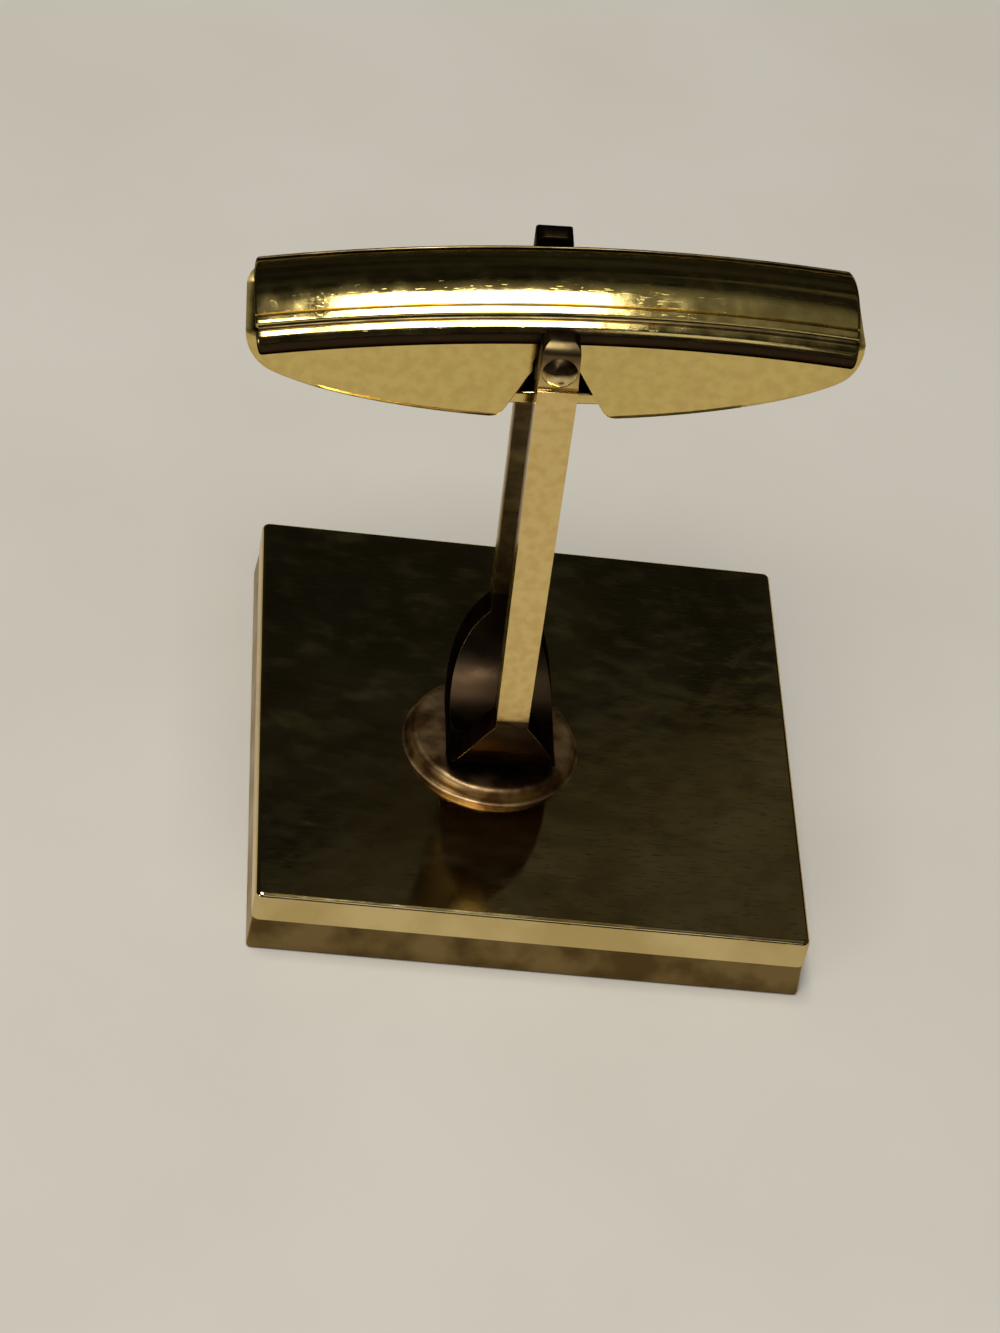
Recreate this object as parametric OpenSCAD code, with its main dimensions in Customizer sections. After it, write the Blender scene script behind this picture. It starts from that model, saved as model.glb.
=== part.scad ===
// Swivel-bar cufflink with a square face, lying face down on a table.
// +Z is up and away from the table, the origin is the centre of the front face,
// X runs along the toggle and Y runs along its pivot pin.

/* [Face] */
// Side of the square back plate
plate_side = 17; // [14:0.1:20]
// Radius of the plate's four corners
plate_corner_r = 0.5; // [0.4:0.1:1.5]
// Thickness of the back plate
back_plate_t = 1.05; // [0.8:0.05:1.5]
// Rounding of the back plate's upper edge
back_edge_r = 0.22; // [0.1:0.01:0.3]
// Thickness of the face plate
face_plate_t = 1.25; // [0.8:0.05:2]
// How far the face plate's front stands out beyond the back plate's sides
face_flare = 0.05; // [0:0.01:0.2]
// How far the face plate is drawn in where it meets the back plate
joint_step = 0.08; // [0.02:0.01:0.2]
// Rounding round the front of the face plate
face_edge_r = 0.12; // [0.05:0.01:0.3]

/* [Foot] */
// Diameter of the foot pad
pad_d = 5.3; // [4:0.1:6.4]
// Thickness of the foot pad
pad_t = 0.5; // [0.4:0.05:0.8]
// Rounding of the foot pad's rim
pad_edge_r = 0.25; // [0.1:0.05:0.3]
// Post's place on the plate, to the right of its centre
foot_x = -1; // [-2:0.05:2]
// Post's place on the plate, behind its centre
foot_y = -1.05; // [-2:0.05:2]
// How far the pad sits to the left of the post
pad_shift = 0.2; // [0:0.05:0.4]
// Lean of the post to the left, in degrees
post_lean = 3.5; // [1:0.5:5]

/* [Post] */
// Thickness of the strip that the post is bent from
strip_t = 0.95; // [0.75:0.05:1.15]
// Clear gap between the two legs
leg_gap = 4.3; // [4.2:0.05:5.2]
// Width of a leg where it leaves the leaf
leg_foot_w = 1.06; // [0.8:0.02:1.27]
// Width of a leg at its shoulder
leg_top_w = 1.16; // [1.1:0.01:1.5]
// Width of the leaf-shaped bend that stands on the pad
leaf_w = 3.4; // [2.6:0.1:4]
// Height at which the leaf has narrowed to the leg
leaf_h = 3.3; // [2.8:0.1:4.2]
// Length of the post from its foot to the pivot pin
pin_rise = 17.04; // [14:0.02:20.5]
// Drop from the pivot pin to the leg's shoulder
shoulder_drop = 0.6; // [0.55:0.01:0.8]
// Rise from the pivot pin to the top of the head
head_rise = 0.9; // [0.7:0.05:1.2]
// Width of the head of each leg
head_w = 1.08; // [1.04:0.01:1.3]
// Step from the leg's outer face back to the head's
head_step = 0.12; // [0.05:0.01:0.2]
// Rounding of the head's top corners, seen from the front
head_corner_r = 0.26; // [0.1:0.02:0.4]
// Rounding of the head's outer top edge, seen from the side
head_brow_r = 0.42; // [0.2:0.02:0.5]

/* [Pivot] */
// Diameter of the pivot pin
pin_d = 0.56; // [0.46:0.02:0.62]
// Diameter of the pin's peened ends
rivet_d = 1.02; // [0.9:0.01:1.04]
// Height of the pin's peened ends
rivet_h = 0.3; // [0.1:0.02:0.4]
// Running clearance round the pin
pin_clear = 0.03; // [0.02:0.01:0.05]
// Side of the square detent cam
cam_side = 0.82; // [0.78:0.02:0.86]
// Diameter across the cam's rounded corners
cam_corner_d = 0.98; // [0.9:0.01:1]
// Gap between the cam's ends and the cap's rolled edges
cam_end_gap = 0.06; // [0.04:0.01:0.2]

/* [Toggle] */
// Length of the cap along its chord
cap_len = 17; // [14:0.1:20.4]
// Width of the cap over its rolled edges
cap_w = 4; // [3.3:0.05:4.05]
// Height of the rolled edges' centre line above the pin
roll_rise = 0.46; // [0.44:0.01:0.6]
// Diameter of the rolled edges
roll_d = 0.86; // [0.7:0.02:1]
// Rise of the cap's arch over its length
arch_rise = 0.65; // [0.4:0.05:1]
// Rise of the cap's underside above the rolled edges' centre line
web_rise = 0.18; // [0.16:0.01:0.24]
// Radius of the crown across the cap, which runs smoothly into the rolled edges
crown_r = 2.83; // [2.6:0.01:4]
// Distance from the cap's side to its outer groove
outer_groove_in = 0.36; // [0.32:0.01:0.5]
// Distance from the cap's side to its inner groove
inner_groove_in = 0.67; // [0.6:0.01:0.9]
// Width of the outer grooves
outer_groove_w = 0.12; // [0.04:0.01:0.16]
// Width of the inner grooves
inner_groove_w = 0.06; // [0.04:0.01:0.16]
// Thickness of the tray's walls
wall_t = 0.35; // [0.25:0.05:0.42]
// Drop of the tray's belly below the rolled edges' centre line
belly_drop = 3.05; // [2.5:0.05:3.7]
// How far the tray's ends stand out beyond the cap
tray_end = 0.34; // [0.1:0.02:0.5]
// Radius of the tray's corners, seen from above
tray_corner_r = 0.7; // [0.4:0.05:1]
// How far the tray's walls reach up into the rolled edges
wall_seat = 0.1; // [0.05:0.01:0.15]
// Width of the notch under the pin
notch_w = 0.94; // [0.8:0.02:1.2]
// Width of the notch at the belly
notch_mouth_w = 3.66; // [2.6:0.02:4.4]
// Wall left between the pin's bore and the notch
notch_wall = 0.2; // [0.15:0.05:0.3]
// Thickness of the strap that joins the tray's halves across the notch
strap_t = 0.42; // [0.3:0.02:0.5]
// Rise of the strap's underside above the belly
strap_rise = 0.16; // [0.05:0.01:0.3]
// How far each end of the strap lies on the tray's floor
strap_lap = 0.5; // [0.3:0.05:1]
// Turn of the toggle on its pin, right end up, in degrees
toggle_turn = 2.5; // [0.5:0.5:5]

/* [Detent spring] */
// Thickness of the spring
spring_t = 0.12; // [0.1:0.01:0.14]
// Radius of the spring's two outer bends
spring_bend_r = 0.2; // [0.16:0.02:0.3]
// Drop of the spring's prongs below the pin
prong_drop = 1.8; // [1.2:0.05:1.9]
// Gap between the spring's prongs and the cam
prong_gap = 0.03; // [0.02:0.01:0.05]
// Gap between the spring and the cap above it
spring_seat_gap = 0.02; // [0.02:0.01:0.05]

/* [Hidden] */
$fn = 64;
hull_fn = 32;
arch_fn = 720;
overrun = 1;
corner_steps = 5;
belly_steps = 60;
notch_steps = 14;
crown_steps = 8;
roll_steps = 20;
dome_steps = 8;
belly_power = 2.4;
notch_power = 8;
notch_slope_share = 0.56;

back_z = face_plate_t;
pad_z = back_z + back_plate_t;
foot_z = pad_z + pad_t;
leg_outer = leg_gap / 2 + strip_t;
head_outer = leg_outer - head_step;
head_t = strip_t - head_step;
shoulder_z = pin_rise - shoulder_drop;
head_h = shoulder_drop + head_rise;
foot_sink = leaf_w / 2 * sin(post_lean);
leaf_drop = (leaf_w - leg_foot_w) / 2;
leaf_r = (leaf_h * leaf_h + leaf_drop * leaf_drop) / (2 * leaf_drop);
half_len = cap_len / 2;
arch_r = (half_len * half_len + arch_rise * arch_rise) / (2 * arch_rise);
roll_r = roll_d / 2;
roll_y = cap_w / 2 - roll_r;
web_half_w = roll_y - roll_r;
crown_a = asin(roll_y / (crown_r - roll_r));
crown_centre = -(crown_r - roll_r) * cos(crown_a);
tray_w = 2 * roll_y + wall_t;
tray_inner_w = tray_w - 2 * wall_t;
tray_half_len = half_len + tray_end;
tray_top = web_rise + roll_d;
belly_level = -arch_rise - roll_r + wall_seat;
belly_depth = belly_drop + belly_level;
notch_top = -pin_d / 2 - pin_clear - notch_wall;
notch_depth = notch_top - roll_rise + belly_drop;
strap_len = notch_mouth_w + 2 * strap_lap;
strap_z = roll_rise - belly_drop + strap_rise + strap_t / 2;
inner_w = 2 * (web_half_w - cam_end_gap);
prong_x = cam_side / 2 + prong_gap;
spring_top = roll_rise + web_rise - spring_seat_gap;

// Points of a quarter circle of radius r about [x, y], from angle a to a + 90
function quarter(x, y, r, a) =
    [for (i = [0 : corner_steps])
        let (b = a + 90 * i / corner_steps)
        [x + r * cos(b), y + r * sin(b)]];

// Points of the tray's belly, from its right end to its left
function belly(half_w, depth) =
    [for (i = [0 : belly_steps])
        let (share = abs(cos(180 * i / belly_steps)))
        [half_w * cos(180 * i / belly_steps), belly_level - depth * pow(1 - pow(share, belly_power), 1 / belly_power)]];

// Half width of the notch at a share t of its depth
function notch_half(t) =
    notch_w / 2
    + (notch_mouth_w - notch_w) / 2 * (notch_slope_share * t + (1 - notch_slope_share) * pow(t, notch_power));

// Points of one side of the notch, from its top down
function notch_side(sign) =
    [for (i = [0 : notch_steps])
        [sign * notch_half(i / notch_steps), notch_top - notch_depth * i / notch_steps]];

// Points of the pin's peened end, from its rim to its middle
function dome(sign) =
    let (
        r = (rivet_d * rivet_d / 4 + rivet_h * rivet_h) / (2 * rivet_h),
        rim_angle = asin(rivet_d / 2 / r)
    )
    [for (i = [0 : dome_steps])
        let (a = rim_angle * (1 - i / dome_steps))
        [r * sin(a), sign * (head_outer + rivet_h - r + r * cos(a))]];

// Point of the crown at place y across, sunk by depth
function crown_point(y, depth) =
    let (b = asin(y / crown_r))
    [crown_centre + (crown_r - depth) * cos(b), (crown_r - depth) * sin(b)];

// Points of a groove of width w in the crown, with its middle at place y
function groove(y, w) = [crown_point(y - w / 2, 0), crown_point(y, w / 2), crown_point(y + w / 2, 0)];

// Points of one side of the cap's section, from the crown round the rolled edge to the underside
function cap_side() =
    let (
        inner_y = cap_w / 2 - inner_groove_in,
        outer_y = cap_w / 2 - outer_groove_in,
        last_a = 360 - acos(web_rise / roll_r)
    )
    concat(
        [for (i = [1 : crown_steps]) crown_point(inner_y * i / (crown_steps + 1), 0)],
        groove(inner_y, inner_groove_w),
        groove(outer_y, outer_groove_w),
        [for (i = [0 : roll_steps])
            let (a = crown_a + (last_a - crown_a) * i / roll_steps)
            [roll_r * cos(a), roll_y + roll_r * sin(a)]]
    );

// Stands a child on the pad in the frame of the leaning post
module at_post() {
    translate([foot_x, foot_y, foot_z - foot_sink])
        rotate([0, -post_lean, 0])
            children();
}

// Puts a child on the pivot pin, turned with the toggle
module at_toggle() {
    at_post()
        translate([0, 0, pin_rise])
            rotate([0, -toggle_turn, 0])
                children();
}

// Sweeps a section drawn as [height above the rolled edges, place across] along the arch
module along_arch(reach) {
    angle = 2 * asin(reach / arch_r);
    translate([0, 0, roll_rise - arch_r])
        rotate([0, -90, -90])
            rotate([0, 0, -angle / 2])
                rotate_extrude(angle = angle, $fn = arch_fn)
                    translate([arch_r, 0])
                        children();
}

// Gives an outline drawn in X and Z the width w along Y
module across(w) {
    rotate([90, 0, 0])
        linear_extrude(w, center = true)
            children();
}

// Cylinder along the pivot pin
module pin_bore(d, len) {
    rotate([90, 0, 0])
        cylinder(d = d, h = len, center = true);
}

// Square slab with rounded corners, a rounded upper edge and sides drawn in at its foot
module rounded_slab(side, t, edge_r, foot_inset) {
    place = side / 2 - plate_corner_r;
    hull()
        for (x = [-place, place], y = [-place, place])
            translate([x, y, 0])
                rotate_extrude($fn = hull_fn)
                    polygon(concat(
                        [[0, 0], [plate_corner_r - foot_inset, 0]],
                        quarter(plate_corner_r - edge_r, t - edge_r, edge_r, 0),
                        [[0, t]]
                    ));
}

module face_plate() {
    color("darkgoldenrod")
        translate([0, 0, face_plate_t])
            mirror([0, 0, 1])
                rounded_slab(plate_side + 2 * face_flare, face_plate_t, face_edge_r, face_flare + joint_step);
}

module back_plate() {
    color("goldenrod")
        translate([0, 0, back_z])
            rounded_slab(plate_side, back_plate_t, back_edge_r, 0);
}

module foot_pad() {
    color("goldenrod")
        translate([foot_x - pad_shift, foot_y, pad_z])
            rotate_extrude()
                polygon(concat(
                    [[0, 0], [pad_d / 2, 0]],
                    quarter(pad_d / 2 - pad_edge_r, pad_t - pad_edge_r, pad_edge_r, 0),
                    [[0, pad_t]]
                ));
}

// Side view of the post: a U whose legs end in stepped heads, drawn in Y and Z
module post_side() {
    difference() {
        circle(r = leg_outer);
        circle(r = leg_gap / 2);
        translate([-leg_outer - overrun, 0])
            square([2 * (leg_outer + overrun), leg_outer + overrun]);
    }
    for (side = [-1, 1])
        scale([side, 1])
            translate([leg_gap / 2, 0]) {
                square([strip_t, shoulder_z - leg_outer]);
                translate([0, shoulder_z - leg_outer])
                    polygon(concat(
                        [[0, 0], [head_t, 0]],
                        quarter(head_t - head_brow_r, head_h - head_brow_r, head_brow_r, 0),
                        [[0, head_h]]
                    ));
            }
}

// Front view of the post: leaf, tapered leg and narrower head, drawn in X and Z
module post_front() {
    intersection() {
        translate([leaf_r - leaf_w / 2, 0])
            circle(r = leaf_r, $fn = arch_fn);
        translate([leaf_w / 2 - leaf_r, 0])
            circle(r = leaf_r, $fn = arch_fn);
        translate([-leaf_w, 0])
            square([2 * leaf_w, leaf_h + leg_foot_w]);
    }
    polygon([
        [-leg_foot_w / 2, 0],
        [leg_foot_w / 2, 0],
        [leg_foot_w / 2, leaf_h],
        [leg_top_w / 2, shoulder_z],
        [-leg_top_w / 2, shoulder_z],
        [-leg_foot_w / 2, leaf_h]
    ]);
    translate([0, shoulder_z])
        polygon(concat(
            [[-head_w / 2, 0], [head_w / 2, 0]],
            quarter(head_w / 2 - head_corner_r, head_h - head_corner_r, head_corner_r, 0),
            quarter(head_corner_r - head_w / 2, head_h - head_corner_r, head_corner_r, 90)
        ));
}

module post() {
    color("gold")
        difference() {
            at_post()
                difference() {
                    intersection() {
                        translate([0, 0, leg_outer])
                            rotate([90, 0, 90])
                                linear_extrude(leaf_w + overrun, center = true)
                                    post_side();
                        across(2 * leg_outer + overrun)
                            post_front();
                    }
                    translate([0, 0, pin_rise])
                        pin_bore(pin_d, 2 * leg_outer + overrun);
                }
            translate([foot_x, foot_y, foot_z - pad_t / 2])
                cube([2 * leaf_w, 2 * leg_outer, pad_t], center = true);
        }
}

module pivot_pin() {
    color("goldenrod")
        at_post()
            translate([0, 0, pin_rise])
                rotate([90, 0, 0])
                    rotate_extrude()
                        polygon(concat(
                            dome(1),
                            [for (i = [dome_steps : -1 : 0]) dome(-1)[i]],
                            [[pin_d / 2, -head_outer], [pin_d / 2, head_outer]]
                        ));
}

module detent_cam() {
    color("slategray")
        at_toggle()
            difference() {
                intersection() {
                    cube([cam_side, inner_w, cam_side], center = true);
                    pin_bore(cam_corner_d, inner_w);
                }
                pin_bore(pin_d, inner_w + overrun);
            }
}

// Section of the cap: crown, rolled edges and the two grooves beside each, drawn as [height, place across]
module cap_section() {
    side = cap_side();
    polygon(concat(
        side,
        [for (i = [len(side) - 1 : -1 : 0]) [side[i][0], -side[i][1]]]
    ));
}

module toggle_cap() {
    color("goldenrod")
        at_toggle()
            difference() {
                along_arch(half_len)
                    cap_section();
                pin_bore(pin_d + 2 * pin_clear, cap_w + overrun);
            }
}

// Space that the cap takes from the tray, drawn as [height, place across]
module cap_seat() {
    translate([web_rise, -cap_w / 2])
        square([2 * tray_top, cap_w]);
    for (side = [-1, 1])
        translate([0, side * roll_y])
            circle(r = roll_r);
}

// Boat shape of the tray or of its hollow, inset by wall from the tray's outside
module boat(wall, top) {
    half_w = tray_half_len - wall;
    corner_r = tray_corner_r - wall;
    intersection() {
        across(tray_w - 2 * wall)
            translate([0, roll_rise])
                polygon(concat(belly(half_w, belly_depth - wall), [[-half_w, top], [half_w, top]]));
        linear_extrude(2 * (belly_drop + top), center = true)
            hull()
                for (x = [-1, 1], y = [-1, 1])
                    translate([x * (half_w - corner_r), y * (tray_w / 2 - wall - corner_r)])
                        circle(r = corner_r);
    }
}

// Side view of the notch under the pin, drawn in X and Z
module notch_outline() {
    low = notch_top - notch_depth - overrun;
    left = notch_side(-1);
    polygon(concat(
        notch_side(1),
        [[notch_mouth_w / 2, low], [-notch_mouth_w / 2, low]],
        [for (i = [notch_steps : -1 : 0]) left[i]]
    ));
}

module toggle_tray() {
    color("gold")
        at_toggle() {
            difference() {
                boat(0, tray_top);
                boat(wall_t, tray_top + overrun);
                along_arch(tray_half_len + tray_end)
                    cap_seat();
                across(tray_w + overrun)
                    notch_outline();
                pin_bore(pin_d + 2 * pin_clear, tray_w + overrun);
            }
            translate([0, 0, strap_z])
                cube([strap_len, tray_inner_w, strap_t], center = true);
        }
}

// Upside-down U with rounded bends, drawn in X and Z
module spring_arch(half_w, top, low, bend_r) {
    polygon(concat(
        [[-half_w, low], [half_w, low]],
        quarter(half_w - bend_r, top - bend_r, bend_r, 0),
        quarter(bend_r - half_w, top - bend_r, bend_r, 90)
    ));
}

module detent_spring() {
    color("dimgray")
        at_toggle()
            across(inner_w)
                difference() {
                    spring_arch(prong_x + spring_t, spring_top, -prong_drop, spring_bend_r);
                    spring_arch(prong_x, spring_top - spring_t, -prong_drop - overrun, spring_bend_r - spring_t);
                }
}

face_plate();
back_plate();
foot_pad();
post();
pivot_pin();
detent_cam();
toggle_cap();
toggle_tray();
detent_spring();
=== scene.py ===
from math import acos, asin, atan2, cos, hypot, pi, radians, sin, sqrt

import bmesh
import bpy
from mathutils import Matrix, Vector, noise


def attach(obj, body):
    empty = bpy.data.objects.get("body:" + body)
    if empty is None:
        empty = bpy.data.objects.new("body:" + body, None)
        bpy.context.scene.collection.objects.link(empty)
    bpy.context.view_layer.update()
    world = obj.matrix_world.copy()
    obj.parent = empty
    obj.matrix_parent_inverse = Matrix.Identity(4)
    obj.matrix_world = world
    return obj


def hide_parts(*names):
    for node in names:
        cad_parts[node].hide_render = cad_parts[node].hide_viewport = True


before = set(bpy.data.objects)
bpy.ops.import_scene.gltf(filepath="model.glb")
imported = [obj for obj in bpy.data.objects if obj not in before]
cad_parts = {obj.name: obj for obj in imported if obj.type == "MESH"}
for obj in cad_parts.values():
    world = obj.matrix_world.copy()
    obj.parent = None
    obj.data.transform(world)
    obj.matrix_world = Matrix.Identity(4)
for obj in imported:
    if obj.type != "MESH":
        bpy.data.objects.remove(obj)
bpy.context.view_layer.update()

# Sizes are in millimetres and become metres when a piece is finished. Most are the CAD source's. Corner
# radii, grooves, the leg's foot and the tray's belly, notch, strap and lip follow the photograph more closely
MM = 0.001
# Distance below which two points are one
TINY = 1e-4
# Slack in tests of where a point lies
NEAR = 0.01

# Plates
PLATE_SIDE = 17.0
BACK_PLATE_T = 1.05
BACK_CORNER_R = 0.24
BACK_EDGE_R = 0.15
FACE_PLATE_T = 1.25
FACE_CORNER_R = 0.16
FACE_EDGE_R = 0.12
FACE_FLARE = 0.03
JOINT_STEP = 0.04

# Foot pad
PAD_D = 5.3
PAD_T = 0.5
PAD_EDGE_R = 0.25
PAD_SHIFT = 0.2
SOLDER_R = 0.14
PAD_FLAT_SHARE = 0.6

# Post
FOOT_X = -1.0
FOOT_Y = -1.05
POST_LEAN = radians(3.5)
STRIP_T = 0.95
LEG_GAP = 4.3
LEG_FOOT_W = 0.98
LEG_TOP_W = 1.16
LEAF_W = 3.4
LEAF_H = 3.3
PIN_RISE = 17.04
SHOULDER_DROP = 0.6
HEAD_RISE = 0.9
HEAD_W = 1.08
HEAD_STEP = 0.12
HEAD_CORNER_R = 0.26
HEAD_BROW_R = 0.42
STRIP_EDGE_R = 0.1
BROW_STEPS = 7

# Pivot
PIN_D = 0.56
RIVET_D = 1.02
RIVET_H = 0.3
RIVET_FLAT_SHARE = 0.86
DOME_STEPS = 14
HAMMER_DEPTH = 0.1
DENTS_PER_MM = 3.2
DENT_PLACE = Vector((4.0, 1.0, 2.0))
PIN_CLEAR = 0.03
CAM_SIDE = 0.82
CAM_CORNER_D = 0.98
BORE_STEPS = 32

# Toggle
CAP_LEN = 17.0
CAP_W = 4.0
ROLL_RISE = 0.46
ROLL_D = 0.86
ARCH_RISE = 0.65
WEB_RISE = 0.18
CROWN_R = 2.83
OUTER_GROOVE_IN = 0.36
INNER_GROOVE_IN = 0.67
OUTER_GROOVE_W = 0.19
INNER_GROOVE_W = 0.09
GROOVE_DEPTH = 0.06
BAND_SWELL = 0.012
WALL_T = 0.35
WALL_SEAT = 0.1
BELLY_DROP = 3.34
BELLY_POWER = 1.8
TRAY_END = 0.34
TRAY_CORNER_R = 0.7
TRAY_FOLD_R = 0.36
TRAY_FOLD_SHARE = 0.7
TRAY_LIP_R = 0.4
NOTCH_W = 0.94
NOTCH_MOUTH_W = 5.58
NOTCH_WALL = 0.2
NOTCH_POWER = 20
NOTCH_SLOPE_SHARE = 0.52
NOTCH_STEPS = 24
CUT_PAST = 1
STRAP_T = 0.42
STRAP_RISE = 0.45
STRAP_LEN = 4.0
STRAP_CLEAR = 0.01
STRAP_EDGE_R = 0.08
TOGGLE_TURN = radians(2.5)
CAP_END_R = 0.1
RIM_R = 0.05

# Detent spring
SPRING_T = 0.12
SPRING_BEND_R = 0.2
SPRING_EDGE_R = 0.02
PRONG_DROP = 1.8
PRONG_GAP = 0.03
SEAT_GAP = 0.02
INNER_END_GAP = 0.06

# Worked out from the sizes above
BACK_Z = FACE_PLATE_T
PAD_Z = BACK_Z + BACK_PLATE_T
FOOT_Z = PAD_Z + PAD_T
LEG_OUTER = LEG_GAP / 2 + STRIP_T
HEAD_OUTER = LEG_OUTER - HEAD_STEP
SHOULDER_Z = PIN_RISE - SHOULDER_DROP
HEAD_TOP = PIN_RISE + HEAD_RISE
LEAF_DROP = (LEAF_W - LEG_FOOT_W) / 2
LEAF_R = (LEAF_H**2 + LEAF_DROP**2) / (2 * LEAF_DROP)
HALF_LEN = CAP_LEN / 2
ARCH_R = (HALF_LEN**2 + ARCH_RISE**2) / (2 * ARCH_RISE)
ROLL_R = ROLL_D / 2
ROLL_Y = CAP_W / 2 - ROLL_R
WEB_HALF_W = ROLL_Y - ROLL_R
CROWN_ANGLE = asin(ROLL_Y / (CROWN_R - ROLL_R))
CROWN_CENTRE = -(CROWN_R - ROLL_R) * cos(CROWN_ANGLE)
INNER_W = 2 * (WEB_HALF_W - INNER_END_GAP)
TRAY_HALF_W = ROLL_Y + WALL_T / 2
TRAY_HALF_LEN = HALF_LEN + TRAY_END
LIP_REACH = 0.75 * TRAY_LIP_R
BELLY_LEVEL = ROLL_RISE - ARCH_RISE - ROLL_R + WALL_SEAT
BELLY_Z = ROLL_RISE - BELLY_DROP
NOTCH_TOP = -PIN_D / 2 - PIN_CLEAR - NOTCH_WALL

# How dark the brown of painted shade, solder and tarnish is: 0 is bright metal, 1 is dark, and a little more
# than 1 lets no unevenness show through
FULL_SHADE_AND_TARNISH = 1.15
INSIDE_LEG_SHADE = 0.86
FAR_FLANK_SHADE = 0.9
# Heights up the post at which its painted shade can change, as shares of the way from leaf to shoulder
LEG_LEVEL_SHARES = (0.02, 0.03, 0.07, 0.25, 0.5, 0.75, 1.0)
# The painted shade ends this far above the leaf, and on the front leg's face it ends sharply, over FRONT_FADE
LEAF_FADE = 0.9
FRONT_SHADE_TOP = 0.35
FRONT_FADE = 0.08

POST = (
    Matrix.Translation((FOOT_X, FOOT_Y, FOOT_Z - LEAF_W / 2 * sin(POST_LEAN)))
    @ Matrix.Rotation(-POST_LEAN, 4, "Y")
)
TOGGLE = POST @ Matrix.Translation((0, 0, PIN_RISE)) @ Matrix.Rotation(-TOGGLE_TURN, 4, "Y")


# Colours and materials

def linear(code):
    """An sRGB hex colour such as #D1BF8E as the linear colour that shaders take"""
    shades = [int(code[i : i + 2], 16) / 255 for i in (1, 3, 5)]
    return [c / 12.92 if c <= 0.04045 else ((c + 0.055) / 1.055) ** 2.4 for c in shades] + [1.0]


def add_node(tree, kind, inputs, **settings):
    """Adds a shader node; an input is given a value, or the node or output that it is linked to"""
    node = tree.nodes.new("ShaderNode" + kind)
    for name, value in settings.items():
        setattr(node, name, value)
    for name, value in inputs.items():
        if isinstance(value, bpy.types.Node):
            value = value.outputs[0]
        if isinstance(value, bpy.types.NodeSocket):
            tree.links.new(value, node.inputs[name])
        else:
            node.inputs[name].default_value = value
    return node


def span(value, low, high, to_low=0.0, to_high=1.0):
    """Inputs of a Map Range node that takes low to to_low and high to to_high"""
    return {"Value": value, "From Min": low, "From Max": high, "To Min": to_low, "To Max": to_high}


# Inputs and output of a colour Mix node
MIX_SHARE, MIX_A, MIX_B, MIX_COLOUR = 0, 6, 7, 2


def noise_of(tree, place, size_mm, detail, stretch=(1, 1, 1), offset=0.0):
    """Noise whose blotches are about size_mm across, drawn out along the axes by stretch"""
    scale = [1 / (size_mm * MM * s) for s in stretch]
    mapped = add_node(tree, "Mapping", {"Vector": place, "Scale": scale, "Location": [offset] * 3})
    return add_node(tree, "TexNoise", {"Vector": mapped, "Scale": 1.0, "Detail": detail})


def crinkled(tree, place):
    """Extra roughness of faint crinkles"""
    return add_node(
        tree, "MapRange", span(noise_of(tree, place, 0.7, 6.0, (1.6, 1, 1), 5.0), 0.48, 0.66, 0.0, 0.07)
    )


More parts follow.
